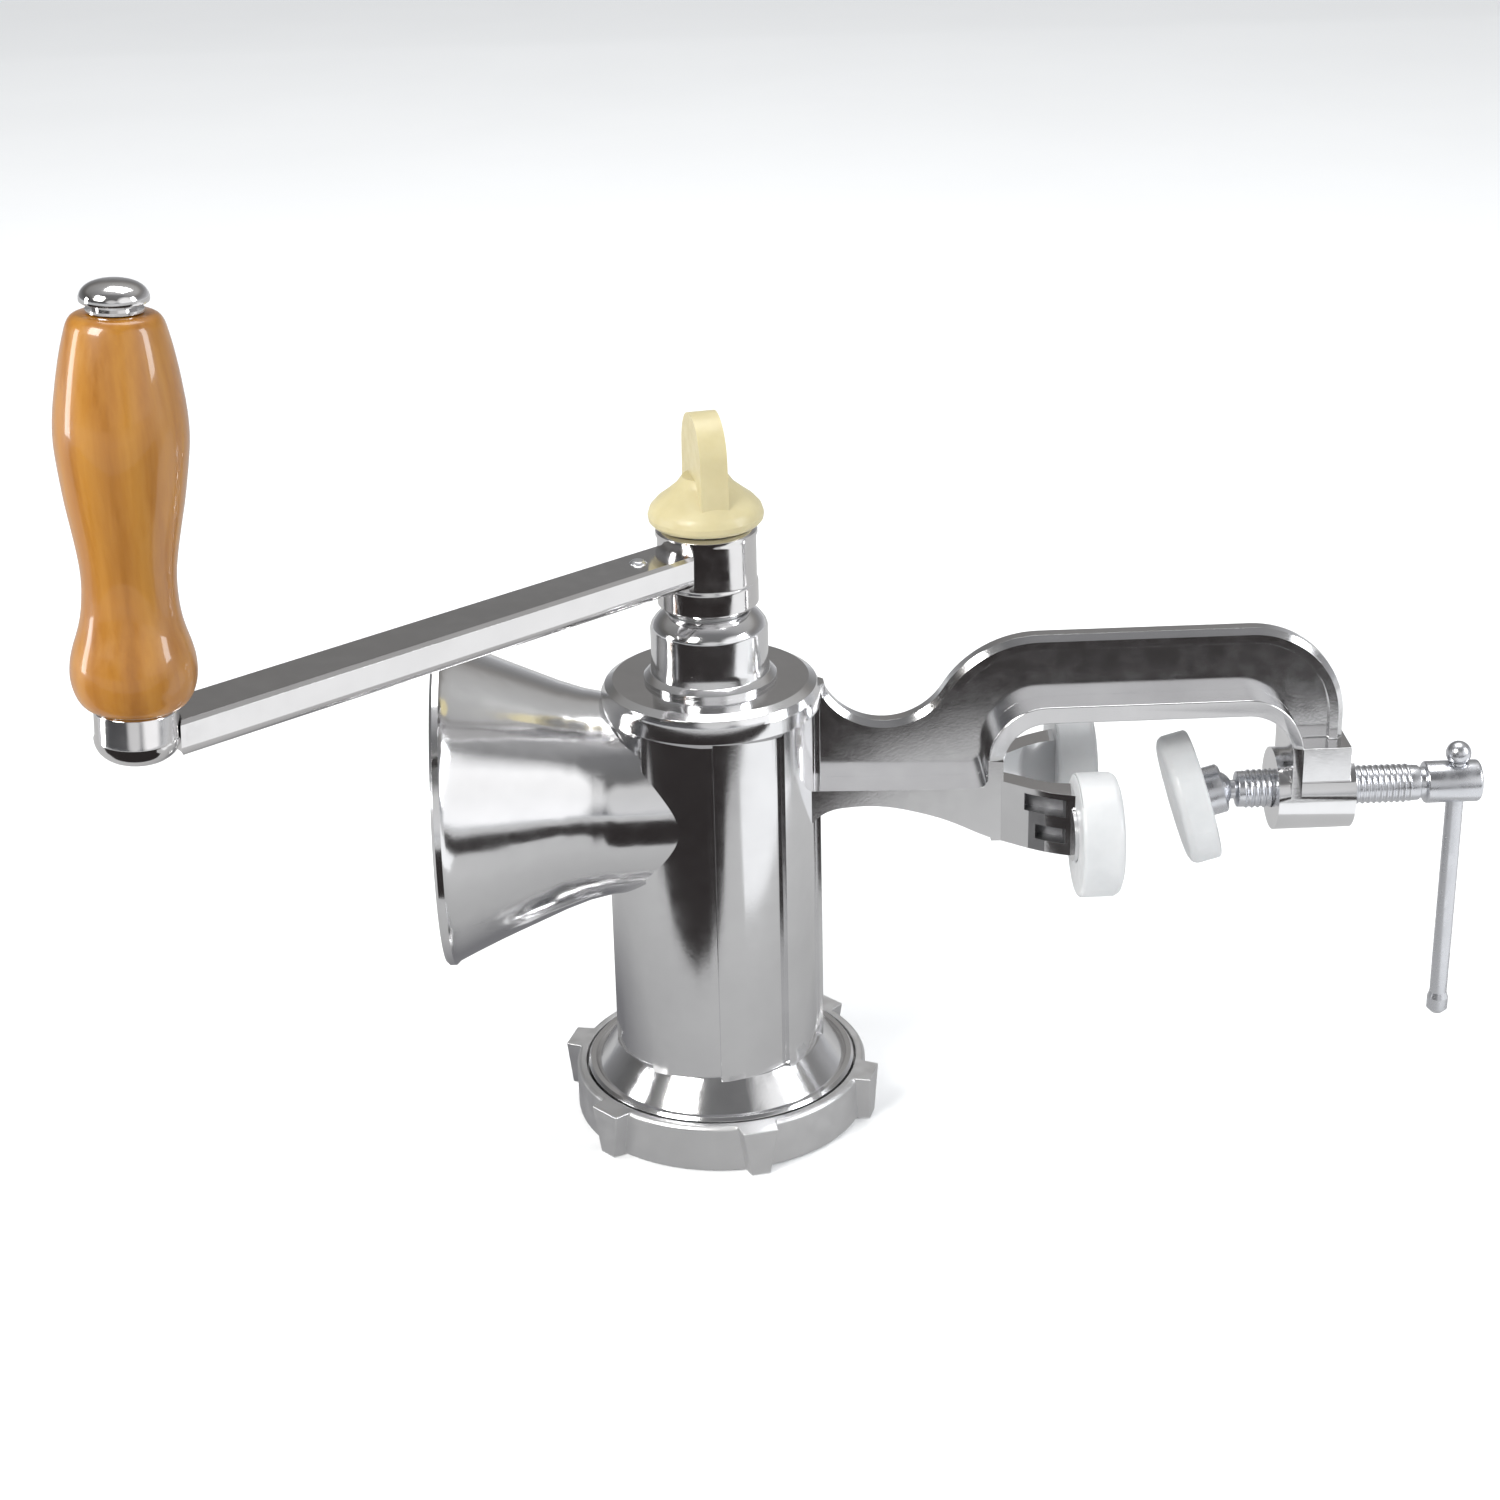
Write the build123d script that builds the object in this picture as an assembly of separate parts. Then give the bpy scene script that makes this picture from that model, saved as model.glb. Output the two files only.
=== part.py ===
from build123d import *
import math
import os

# Hand-cranked meat mincer (size 8) with a table clamp, millimetres.
# Frame: +Z is the barrel axis, the mincer stands on its ring nut at z = 0,
# +X points to the clamp arm, -X to the hopper, -Y is the crank's front side.

# ---------------------------------------------------------------- dimensions
# ring nut and outlet
NUT_R = 38.0              # outer wall of the ring nut
NUT_H = 13.0              # height of the ring nut
NUT_CAVITY_R = 34.75      # inside its thread
NUT_MOUTH_R = 35.5        # recess that takes the barrel's collar bead
LUG_R = 41.6              # lugs of the ring nut
LUG_COUNT = 6
LUG_PHASE = -78.0         # degrees from +X to the front lug
LIP_H = 2.8               # lip that holds the plate
OUTLET_R = 27.5           # opening in the lip
THREAD_R = 34.4           # thread on the barrel's collar
# plate, knife and stud
PLATE_R = 30.9
PLATE_T = 5.0
PLATE_HOLE_R = 2.2
KNIFE_R = 27.8
STUD_R = 4.0
STUD_SQUARE = 9.0
# barrel
RIB_R = 27.3              # proud edge of each side panel
RIB_BASE_R = 25.9         # where each panel runs out
RIB_COUNT = 9
RIB_PHASE = -91.2
COLLAR_R = 35.0
BORE_R = 23.4
KNIFE_ROOM_R = 29.2
SEAT_Z = LIP_H + PLATE_T  # 7.8, the plate's shoulder
BARREL_END_Z = 3.2
TOP_Z = 120.8
FLANGE_R = 27.4
NECK_R = 14.6
NECK_TOP_Z = 138.8
NECK_SHOULDER_Z = 134.4   # where the neck's rounded shoulder begins
BUSH_TOP_Z = 132.0
NECK_BORE_R = 12.2
# hopper, a funnel about an axis along X
HOP_Z = 89.8
HOP_WALL = 2.8
HOP_THROAT_R = 25.3
HOP_MOUTH_X = -68.5
HOP_MOUTH_R = 42.0
# clamp arm
ARM_HALF = 10.5
WEB_HALF = 1.6
BEAD_HALF = 3.0           # half depth of the bead round the arm's outside
BEAD_W = 3.6
BEAD_ROUND = 1.4
SCREW_Z = 84.3
BOSS_R = 10.6
BOSS_X0, BOSS_X1 = 142.5, 162.2
SCREW_R = 4.95
SCREW_BORE_R = 5.0
# jaw pads
PAD_Y = 22.0
PAD_Z = 83.6
PAD_R = 15.5
FOOT_X0, FOOT_X1, PAD_X1 = 89.0, 93.6, 99.6
FOOT_R = 6.5
# swivel foot
BALL_X = 127.75
SWIVEL_R = 16.9
DROOP = 15.2              # degrees, top of the disc towards the fixed jaw
# tommy bar
BAR_X = 190.5
BAR_R = 2.25
HEAD_R = 5.4
# drive shaft and crank
SHAFT_R = 9.9
HUB_Z0, HUB_Z1 = 140.2, 160.6
HUB_R = 12.5
STUB_R = 7.5
STUB_FLAT = 5.8           # half width across the stub's two flats
WING_SCREW_R = 3.95
ARM_W = 13.5
ARM_T = 8.6
ARM_Z0 = 152.0            # arm's centre line on the barrel axis
GRIP_FOOT = (-121.04, -110.79, 162.04)
GRIP_LEAN = 3.85          # degrees, grip's top leans to the barrel
GRIP_BORE_R = 3.1
WING_T = 6.7              # thickness of the knob's wing
WING_HALF = 10.5          # half its width
WING_ARCH_Z = 178.5       # centre of its round top
WING_TURN = 11.0
SPINDLE_R = 3.0

os.makedirs("parts", exist_ok=True)


def save(name, shape):
    """Write one node; keeps its solids as they are."""
    solids = shape.solids()
    out = solids[0] if len(solids) == 1 else Compound(children=list(solids))
    export_step(out, f"parts/{name}.step")


def cyl(r, z0, z1, x=0.0, y=0.0):
    return Pos(x, y, (z0 + z1) / 2) * Cylinder(r, z1 - z0)


def xcyl(r, x0, x1, y=0.0, z=0.0):
    return Pos((x0 + x1) / 2, y, z) * Rot(0, 90, 0) * Cylinder(r, x1 - x0)


def turned(points):
    """Solid of revolution about Z from (radius, z) points."""
    face = make_face(Polyline(*[(r, 0, z) for r, z in points], close=True))
    return revolve(face, Axis.Z)


def turned_x(points, z):
    """Solid of revolution about the line along X at height z, from (x, radius)."""
    face = make_face(Polyline(*[(x, 0, r) for x, r in points], close=True))
    return Pos(0, 0, z) * revolve(face, Axis.X)


def prism_xz(wire_edges, y0, y1):
    """Extrude an outline drawn in the XZ plane from y0 to y1."""
    face = make_face(wire_edges)
    solid = extrude(face, amount=y1 - y0, dir=(0, 1, 0))
    return Pos(0, y0, 0) * solid


def arc(cx, cz, r, a0, a1):
    """Arc in the XZ plane by centre, radius and start and end angle."""
    p = [
        (cx + r * math.cos(math.radians(a)), 0, cz + r * math.sin(math.radians(a)))
        for a in (a0, (a0 + a1) / 2, a1)
    ]
    return ThreePointArc(*p), p[0], p[2]


def outline(items):
    """Closed outline in XZ from points (x, z) and arcs (cx, cz, r, a0, a1)."""
    edges, first, last = [], None, None
    for item in items:
        if len(item) == 2:
            p = (item[0], 0, item[1])
            if last is not None and math.dist(last, p) > 1e-6:
                edges.append(Line(last, p))
            first, last = first or p, p
        else:
            e, s, t = arc(*item)
            if last is not None and math.dist(last, s) > 1e-6:
                edges.append(Line(last, s))
            edges.append(e)
            first, last = first or s, t
    if math.dist(last, first) > 1e-6:
        edges.append(Line(last, first))
    return edges


# ---------------------------------------------------------------- ring nut
nut = turned([(OUTLET_R, 0), (NUT_R - 0.8, 0), (NUT_R, 0.8), (NUT_R, NUT_H - 0.8), (NUT_R - 0.8, NUT_H),
              (NUT_MOUTH_R, NUT_H), (NUT_MOUTH_R, 10.6), (NUT_CAVITY_R, 10.6), (NUT_CAVITY_R, LIP_H), (OUTLET_R, LIP_H)])
lug_face = make_face(Polyline((NUT_R - 1.5, -5.2, NUT_H), (LUG_R, -4.6, NUT_H), (LUG_R, 4.6, NUT_H), (NUT_R - 1.5, 5.2, NUT_H), close=True))
lug_foot = make_face(Polyline((NUT_R - 1.5, -3.4, 0), (LUG_R - 0.6, -2.4, 0), (LUG_R - 0.6, 2.4, 0), (NUT_R - 1.5, 3.4, 0), close=True))
lug = loft([lug_foot.face(), lug_face.face()])
for i in range(LUG_COUNT):
    nut += Rot(0, 0, LUG_PHASE + i * 360 / LUG_COUNT) * lug
save("ring_nut", nut)

# ---------------------------------------------------------------- plate, key pin, knife, stud
plate = cyl(PLATE_R, LIP_H, SEAT_Z) - cyl(STUD_R + 0.07, LIP_H - 1, SEAT_Z + 1)
holes = []
for ring, (r, n) in enumerate(((8.6, 8), (13.8, 14), (19.0, 20), (24.2, 26))):
    for k in range(n):
        a = 2 * math.pi * (k + 0.5 * (ring % 2)) / n
        holes.append(cyl(PLATE_HOLE_R, LIP_H - 1, SEAT_Z + 1, r * math.cos(a), r * math.sin(a)))
plate = plate - holes
key_dir = 90.0
notch = Rot(0, 0, key_dir) * Pos(PLATE_R, 0, (LIP_H + SEAT_Z) / 2) * Box(5.0, 3.6, PLATE_T + 2)
plate = plate - notch
save("perforated_plate", plate)
key_pin = Rot(0, 0, key_dir) * xcyl(1.5, 29.3, 33.2, 0, 5.3)
save("plate_key_pin", key_pin)

knife = cyl(8.2, SEAT_Z + 0.1, 12.6)
blade = make_face(Polyline((4, -3.6, 0), (KNIFE_R - 1.0, -4.6, 0), (KNIFE_R, 0.6, 0), (4, 3.0, 0), close=True))
blade = Pos(0, 0, SEAT_Z + 0.1) * extrude(blade, amount=3.4, dir=(0, 0, 1))
for i in range(4):
    knife += Rot(0, 0, 90 * i) * blade
knife -= Pos(0, 0, 10) * Box(STUD_SQUARE, STUD_SQUARE, 12)
save("knife", knife)
stud = Pos(0, 0, (SEAT_Z + 0.1 + 13.0) / 2) * Box(STUD_SQUARE, STUD_SQUARE, 13.0 - SEAT_Z - 0.1)
stud += cyl(STUD_R, 2.9, SEAT_Z + 0.2) + cyl(4.5, 12.9, 24.0)
save("knife_stud", stud)

# ---------------------------------------------------------------- feed screw
AUG_Z0, AUG_Z1 = 13.1, 113.1
core = turned([(0, AUG_Z0), (11.5, AUG_Z0), (12.0, 30), (9.6, 108), (14.0, 109.4), (14.0, AUG_Z1), (0, AUG_Z1)])
core -= cyl(4.5, 12.9, 24.0)
core -= cyl(6.0, 101.0, 114.0)
AUG_R, AUG_PITCH, AUG_FLIGHT = 22.7, 27.0, 5.0
fz0, turns = 20.5, 3.15
steps_per_turn = 16
flight = None
n = int(turns * steps_per_turn)
for i in range(n):
    # each wedge of the flight is a short ramp between two radial edges
    a0 = math.radians(360 * i / steps_per_turn)
    a1 = math.radians(360 * (i + 1) / steps_per_turn)
    z0 = fz0 + AUG_PITCH * i / steps_per_turn
    z1 = fz0 + AUG_PITCH * (i + 1) / steps_per_turn
    r0, r1 = 8.0, AUG_R

    def at(r, a, z):
        return (r * math.cos(a), r * math.sin(a), z)

    fa = make_face(Polyline(at(r0, a0, z0 - AUG_FLIGHT / 2), at(r1, a0, z0 - AUG_FLIGHT / 4), at(r1, a0, z0 + AUG_FLIGHT / 4), at(r0, a0, z0 + AUG_FLIGHT / 2), close=True))
    fb = make_face(Polyline(at(r0, a1, z1 - AUG_FLIGHT / 2), at(r1, a1, z1 - AUG_FLIGHT / 4), at(r1, a1, z1 + AUG_FLIGHT / 4), at(r0, a1, z1 + AUG_FLIGHT / 2), close=True))
    seg = loft([fa.face(), fb.face()], ruled=True)
    flight = seg if flight is None else flight + seg
auger = core + flight
save("auger", auger)

drive_shaft = cyl(SHAFT_R, AUG_Z1, HUB_Z0 - 0.0) + cyl(6.0, 101.0, AUG_Z1 + 0.5)
stub = cyl(STUB_R, HUB_Z0 - 0.5, 157.2) & Pos(0, 0, 148) * Box(4 * STUB_R, 2 * STUB_FLAT, 30)
drive_shaft = drive_shaft + stub - cyl(WING_SCREW_R + 0.05, 139.0, 160.0)
save("drive_shaft", drive_shaft)

# ---------------------------------------------------------------- bearing
save("shaft_bush", cyl(NECK_BORE_R, 115.5, BUSH_TOP_Z) - cyl(SHAFT_R + 0.07, 115.0, 138.0))
save("thrust_washer", cyl(19.0, 113.4, 115.5) - cyl(SHAFT_R + 0.3, 113.0, 116.0))

# ---------------------------------------------------------------- barrel
column_edges = []
for i in range(RIB_COUNT):
    a0 = math.radians(RIB_PHASE + i * 360 / RIB_COUNT)
    a1 = math.radians(RIB_PHASE + (i + 1) * 360 / RIB_COUNT)
    am = (a0 + a1) / 2
    p0 = (RIB_R * math.cos(a0), RIB_R * math.sin(a0), 0)
    rm = (RIB_R + RIB_BASE_R) / 2 + 0.15
    pm = (rm * math.cos(am), rm * math.sin(am), 0)
    p1 = (RIB_BASE_R * math.cos(a1), RIB_BASE_R * math.sin(a1), 0)
    p2 = (RIB_R * math.cos(a1), RIB_R * math.sin(a1), 0)
    column_edges += [ThreePointArc(p0, pm, p1), Line(p1, p2)]
column = Pos(0, 0, 19.0) * extrude(make_face(column_edges), amount=114.0 - 19.0, dir=(0, 0, 1))
flange = turned([(0, 112.5), (FLANGE_R - 1.2, 112.5), (FLANGE_R, 113.9), (FLANGE_R, 117.6), (FLANGE_R - 0.9, 119.6), (FLANGE_R - 2.9, TOP_Z), (0, TOP_Z)])
skirt = turned([(0, BARREL_END_Z), (THREAD_R, BARREL_END_Z), (THREAD_R, 11.2), (COLLAR_R, 11.7), (COLLAR_R, 13.1), (COLLAR_R - 0.7, 13.9), (33.0, 13.9), (32.4, 13.3), (26.9, 20.6), (25.9, 21.2), (25.9, 30), (0, 30)])
neck = turned([(0, 119), (16.6, 119), (16.6, 121.9), (15.6, 122.8), (14.95, 123.2), (NECK_R, 126.0), (NECK_R, NECK_SHOULDER_Z), (NECK_R - 0.3, NECK_SHOULDER_Z + 1.0), (NECK_R - 1.2, NECK_SHOULDER_Z + 2.3), (NECK_R - 2.5, NECK_SHOULDER_Z + 3.5), (NECK_R - 3.9, NECK_TOP_Z), (0, NECK_TOP_Z)])
barrel_solid = column + flange + skirt + neck
room = turned([(0, -1), (31.3, -1), (31.3, SEAT_Z), (KNIFE_ROOM_R, SEAT_Z), (KNIFE_ROOM_R, 13.0), (BORE_R, 18.8), (BORE_R, 115.5), (NECK_BORE_R, 115.5), (NECK_BORE_R, BUSH_TOP_Z), (SHAFT_R + 0.3, BUSH_TOP_Z), (SHAFT_R + 0.3, 141), (0, 141)])
barrel = barrel_solid - room
barrel -= xcyl(HOP_THROAT_R - HOP_WALL, -45, 0, 0, HOP_Z)
barrel -= key_pin
save("barrel", barrel)

# ---------------------------------------------------------------- hopper
outer = [(-8.0, HOP_THROAT_R - 0.3), (-20.0, HOP_THROAT_R), (-26.0, 25.6), (-32.0, 26.9), (-38.0, 29.0), (-44.0, 31.5), (-50.0, 34.0), (-56.0, 36.6), (-61.0, 38.9), (-65.3, 41.0), (-66.3, 42.0), (-67.8, HOP_MOUTH_R), (HOP_MOUTH_X, 41.3)]
inner = [(HOP_MOUTH_X, 39.9), (-66.8, 39.0), (-61.0, 36.2), (-56.0, 33.9), (-50.0, 31.3), (-44.0, 28.8), (-38.0, 26.3), (-32.0, 24.1), (-26.0, 22.8), (-20.0, HOP_THROAT_R - HOP_WALL), (-8.0, HOP_THROAT_R - HOP_WALL)]
hopper = turned_x(outer + inner, HOP_Z) - barrel_solid
save("hopper", max(hopper.solids(), key=lambda s: s.volume))

# ---------------------------------------------------------------- clamp arm
# A thin web with a slim bead round its outside and a deep flange round the table window.
A1 = (43.5, 124.7)        # dip beside the barrel
A2 = (82.0, 100.98)       # shoulder
DIP_R = 17.0
SHOULDER_R = math.dist(A1, A2) - DIP_R
tilt = math.degrees(math.atan2(A2[1] - A1[1], A2[0] - A1[0]))
WINDOW = [(145.5, SCREW_Z), (133.5, 96.8, 12.0, 0.0, 90.0), (83.5, 97.7, 11.1, 90.0, 180.0), (72.4, 77.3)]
UNDERSIDE = [(72.4, 77.3), (67.5, 79.0), (63.3, 81.1), (57.0, 84.0), (50.6, 86.1), (46.4, 87.2), (42.2, 87.95), (38.0, 88.25), (33.9, 88.1), (30.0, 87.6), (26.9, 86.3), (24.6, 84.2)]


def outer_path(off):
    """The arm's outer edge, moved inwards by off."""
    return [(20.0, 118.4 - off), (28.2, 118.4 - off), (A1[0], A1[1], DIP_R + off, 210.0, 360 + tilt), (A2[0], A2[1], SHOULDER_R - off, 180 + tilt, 90.0),
            (135.1, 104.8, 24.4 - off, 90.0, 0.0), (159.5 - off, SCREW_Z)]


def closed_region(path, y_half):
    edges = outline(path)[:-1]
    edges.append(Spline(*[(x, 0, z) for x, z in UNDERSIDE]))
    edges.append(Line((UNDERSIDE[-1][0], 0, UNDERSIDE[-1][1]), (20.0, 0, UNDERSIDE[-1][1])))
    edges.append(Line((20.0, 0, UNDERSIDE[-1][1]), (path[0][0], 0, path[0][1])))
    return prism_xz(edges, -y_half, y_half)


web = closed_region(outer_path(1.0) + WINDOW, WEB_HALF)
bead = closed_region(outer_path(0.0) + WINDOW, BEAD_HALF)
rim_edges = [e for e in bead.edges() if abs(abs(e.center().Y) - BEAD_HALF) < 0.01 and e.center().Z > 84 and e.center().X > 25.0]
keep = []
for e in rim_edges:
    c = e.position_at(0.5)
    inside = 71.0 < c.X < 146.5 and c.Z < 109.5
    if not inside and c.Z > 95.0 or (c.X > 155.0):
        keep.append(e)
bead = chamfer(keep, BEAD_ROUND)
inner = closed_region([(p if len(p) == 2 else p) for p in outer_path(BEAD_W)] + WINDOW, ARM_HALF)
bead = bead - inner
FLANGE = [(148.1, SCREW_Z), (133.5, 98.1, 14.6, 0.0, 90.0), (83.5, 97.8, 14.9, 90.0, 180.0), (68.6, 94.9), (65.6, 94.9, 3.0, 0.0, -90.0), (20.0, 93.0)]
fl = outline(FLANGE)[:-1]
fl.append(Line((20.0, 0, 93.0), (20.0, 0, UNDERSIDE[-1][1])))
fl.append(Line((20.0, 0, UNDERSIDE[-1][1]), (UNDERSIDE[-1][0], 0, UNDERSIDE[-1][1])))
fl.append(Spline(*[(x, 0, z) for x, z in reversed(UNDERSIDE)]))
fl += outline([(72.4, 77.3), (83.5, 97.7, 11.1, 180.0, 90.0), (133.5, 96.8, 12.0, 90.0, 0.0), (145.5, SCREW_Z)])[:-1]
fl.append(Line((145.5, 0, SCREW_Z), (148.1, 0, SCREW_Z)))
flange_solid = prism_xz(fl, -ARM_HALF, ARM_HALF)
arm = web + bead + flange_solid
arm += Pos(153.4, 0, (SCREW_Z + 98.8) / 2) * Box(14.4, 18.4, 98.8 - SCREW_Z)
arm += xcyl(BOSS_R, BOSS_X0, BOSS_X1, 0, SCREW_Z)
arm -= xcyl(SCREW_BORE_R, BOSS_X0 - 5, BOSS_X1 + 5, 0, SCREW_Z)
WING_Z0, WING_Z1 = 77.3, 93.8
for side in (-1, 1):
    plan = make_face(Polyline(
        (69.5, side * 4.6, 0), (69.5, side * 10.4, 0), (72.0, side * 10.5, 0), (74.8, side * 12.7, 0), (78.2, side * 15.4, 0), (82.0, side * 17.9, 0),
        (85.6, side * 19.7, 0), (FOOT_X0, side * 21.0, 0), (FOOT_X0, side * 13.5, 0), (84.5, side * 12.6, 0), (80.5, side * 10.4, 0), (76.0, side * 7.0, 0), (72.4, side * 4.6, 0), close=True))
    wing = Pos(0, 0, WING_Z0) * extrude(plan, amount=WING_Z1 - WING_Z0, dir=(0, 0, 1))
    for x0, z0, z1 in ((77.2, 87.6, 92.2), (79.8, 80.4, 84.4)):
        y0 = 11.2 + (x0 - 77.2) * 0.45
        cut = make_face(Polyline((x0, side * y0, 0), (86.8, side * 15.6, 0), (86.8, side * 26, 0), (x0, side * 26, 0), close=True))
        wing -= Pos(0, 0, z0) * extrude(cut, amount=z1 - z0, dir=(0, 0, 1))
    arm += wing
    arm += xcyl(FOOT_R, FOOT_X0 - 0.9, FOOT_X1, side * PAD_Y, PAD_Z)
arm -= barrel_solid
save("clamp_arm", max(arm.solids(), key=lambda s: s.volume))
print("clamp arm solids", [round(q.volume, 1) for q in arm.solids()])

for name, side in (("front_jaw_pad", -1), ("rear_jaw_pad", 1)):
    pad = Pos(0, side * PAD_Y, 0) * turned_x([(FOOT_X0, FOOT_R), (FOOT_X0, PAD_R - 0.6), (FOOT_X0 + 0.6, PAD_R), (PAD_X1 - 2.0, PAD_R), (PAD_X1 - 0.6, PAD_R - 0.7), (PAD_X1, PAD_R - 2.4), (PAD_X1, 0), (FOOT_X1, 0), (FOOT_X1, FOOT_R)], PAD_Z)
    save(name, pad)

# ---------------------------------------------------------------- clamp screw and swivel foot
def on_ball(t):
    return BALL_X + t


screw = turned_x([
    (on_ball(-5.0), 0), (on_ball(-5.0), 2.6), (on_ball(-4.6), 3.0), (on_ball(-3.6), 3.0), (on_ball(-3.6), 2.4), (on_ball(5.4), 2.4), (on_ball(5.4), 4.2), (on_ball(6.2), SCREW_R),
    (179.4, SCREW_R), (180.4, 4.0), (182.0, 4.0), (182.0, HEAD_R - 0.8), (182.9, HEAD_R), (195.3, HEAD_R), (196.3, HEAD_R - 1.0), (196.3, 0)], SCREW_Z)
screw -= cyl(BAR_R + 0.1, 70, 100, BAR_X)
save("clamp_screw", screw)
bar = turned([(0, 17.2), (1.6, 17.2), (2.75, 18.4), (2.75, 21.6), (BAR_R, 23.2), (BAR_R, 90.4), (0, 90.4)])
save("tommy_bar", Pos(BAR_X, 0, 0) * bar)
save("tommy_bar_ball", Pos(BAR_X, 0, 92.1) * Sphere(3.2) - cyl(BAR_R, 80, 90.4, BAR_X))

swivel_collar = Pos(BALL_X, 0, SCREW_Z) * Sphere(5.0)
swivel_collar &= Pos((on_ball(-3.4) + on_ball(4.0)) / 2, 0, SCREW_Z) * Box(7.4, 12, 12)
swivel_collar -= xcyl(2.5, BALL_X - 8, BALL_X + 8, 0, SCREW_Z)
save("swivel_collar", swivel_collar)


def drooped(shape):
    """Turn an upright foot piece about the ball to its resting lean."""
    return Pos(BALL_X, 0, SCREW_Z) * Rot(0, -DROOP, 0) * Pos(-BALL_X, 0, -SCREW_Z) * shape


disc = turned_x([(on_ball(-5.6), 0), (on_ball(-5.6), 15.2), (on_ball(-2.5), 15.2), (on_ball(-2.5), 6.3), (on_ball(2.0), 6.3), (on_ball(2.6), 5.7), (on_ball(2.6), 0)], SCREW_Z)
disc -= Pos(BALL_X, 0, SCREW_Z) * Sphere(5.1)
disc -= xcyl(5.6, on_ball(-7), on_ball(-3.0), 0, SCREW_Z)
save("swivel_disc", drooped(disc))
cap = turned_x([
    (on_ball(-10.8), 0), (on_ball(-10.8), SWIVEL_R - 2.2), (on_ball(-10.2), SWIVEL_R - 0.7), (on_ball(-9.0), SWIVEL_R), (on_ball(-3.1), SWIVEL_R), (on_ball(-2.5), SWIVEL_R - 0.6),
    (on_ball(-2.5), 15.2), (on_ball(-5.6), 15.2), (on_ball(-5.6), 6.0), (on_ball(-7.2), 6.0), (on_ball(-7.2), 0)], SCREW_Z)
save("swivel_cap", drooped(cap))

# ---------------------------------------------------------------- crank
gx, gy, gz = GRIP_FOOT
theta = math.atan2(gy, gx)
ux, uy = math.cos(theta), math.sin(theta)
lean = math.radians(GRIP_LEAN)
axis_n = Vector(-ux * math.sin(lean), -uy * math.sin(lean), math.cos(lean))
grip_plane = Plane(origin=GRIP_FOOT, x_dir=(-uy, ux, 0), z_dir=(axis_n.X, axis_n.Y, axis_n.Z))


def on_grip(shape):
    return grip_plane.location * shape


hub = turned([(0, HUB_Z0), (HUB_R - 0.9, HUB_Z0), (HUB_R, HUB_Z0 + 0.9), (HUB_R, 146.2), (HUB_R - 0.35, 147.4), (HUB_R - 0.35, 158.0), (HUB_R, 158.8), (HUB_R, HUB_Z1 - 0.8), (HUB_R - 0.8, HUB_Z1), (0, HUB_Z1)])
hub_round = hub
end_c = Vector(*GRIP_FOOT) - axis_n * 5.6
arm_dir = Vector(end_c.X, end_c.Y, end_c.Z - ARM_Z0)
arm_len = arm_dir.length
arm_plane = Plane(origin=(0, 0, ARM_Z0), x_dir=(arm_dir.X, arm_dir.Y, arm_dir.Z), z_dir=Vector(arm_dir.X, arm_dir.Y, arm_dir.Z).cross(Vector(-uy, ux, 0)).normalized())
boss = turned([(0, -9.9), (3.2, -9.8), (5.8, -9.1), (7.8, -7.7), (8.8, -6.0), (9.1, -4.5), (8.7, -3.9), (8.7, 1.5), (8.1, 2.1), (0, 2.1)])
boss = on_grip(boss)
# rounded section: flat on top, well rounded below
hw, ht = ARM_W / 2, ARM_T / 2
section = Plane(origin=arm_plane.origin, x_dir=arm_plane.y_dir, z_dir=arm_plane.x_dir)
sec = make_face([Line((-hw + 0.8, ht), (hw - 0.8, ht)), Line((hw - 0.8, ht), (hw, ht - 0.8)), Line((hw, ht - 0.8), (hw, -ht + 3.2)),
                 ThreePointArc((hw, -ht + 3.2), (hw - 0.94, -ht + 0.94), (hw - 3.2, -ht)), Line((hw - 3.2, -ht), (-hw + 3.2, -ht)),
                 ThreePointArc((-hw + 3.2, -ht), (-hw + 0.94, -ht + 0.94), (-hw, -ht + 3.2)), Line((-hw, -ht + 3.2), (-hw, ht - 0.8)), Line((-hw, ht - 0.8), (-hw + 0.8, ht))])
bar_solid = section.location * extrude(sec, amount=arm_len, dir=(0, 0, 1))
# the inner end is a shallow round nose seated in the hub
nose = make_face([ThreePointArc((11.2, -hw - 0.2, 0), (8.0, 0, 0), (11.2, hw + 0.2, 0)), Line((11.2, hw + 0.2, 0), (400, hw + 0.2, 0)), Line((400, hw + 0.2, 0), (400, -hw - 0.2, 0)), Line((400, -hw - 0.2, 0), (11.2, -hw - 0.2, 0))])
nose = arm_plane.location * Pos(0, 0, -20) * extrude(nose, amount=40, dir=(0, 0, 1))
bar_solid = bar_solid & nose
tongue = arm_plane.location * Pos(19.0, 0, 0) * Box(24.0, 7.0, 4.4)
bar_solid = bar_solid - on_grip(cyl(9.1, -25, 25)) - tongue
pin = arm_plane.location * Pos(23.0, 0, -0.6) * Cylinder(1.9, ARM_T + 0.8)
arm_main = max(bar_solid.solids(), key=lambda s: s.volume)
crank_arm = arm_main - pin
hub = hub - arm_main + tongue
hub_hole = cyl(STUB_R + 0.0, HUB_Z0 - 1, 157.6) & Pos(0, 0, 148) * Box(4 * STUB_R, 2 * STUB_FLAT, 30)
hub = hub - hub_hole - cyl(WING_SCREW_R + 0.35, 150, 165) - pin
save("crank_hub", hub)
save("crank_arm", crank_arm)
save("crank_pin", pin)
save("crank_end_boss", boss - on_grip(cyl(SPINDLE_R, -8.0, 5.0)))

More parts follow.
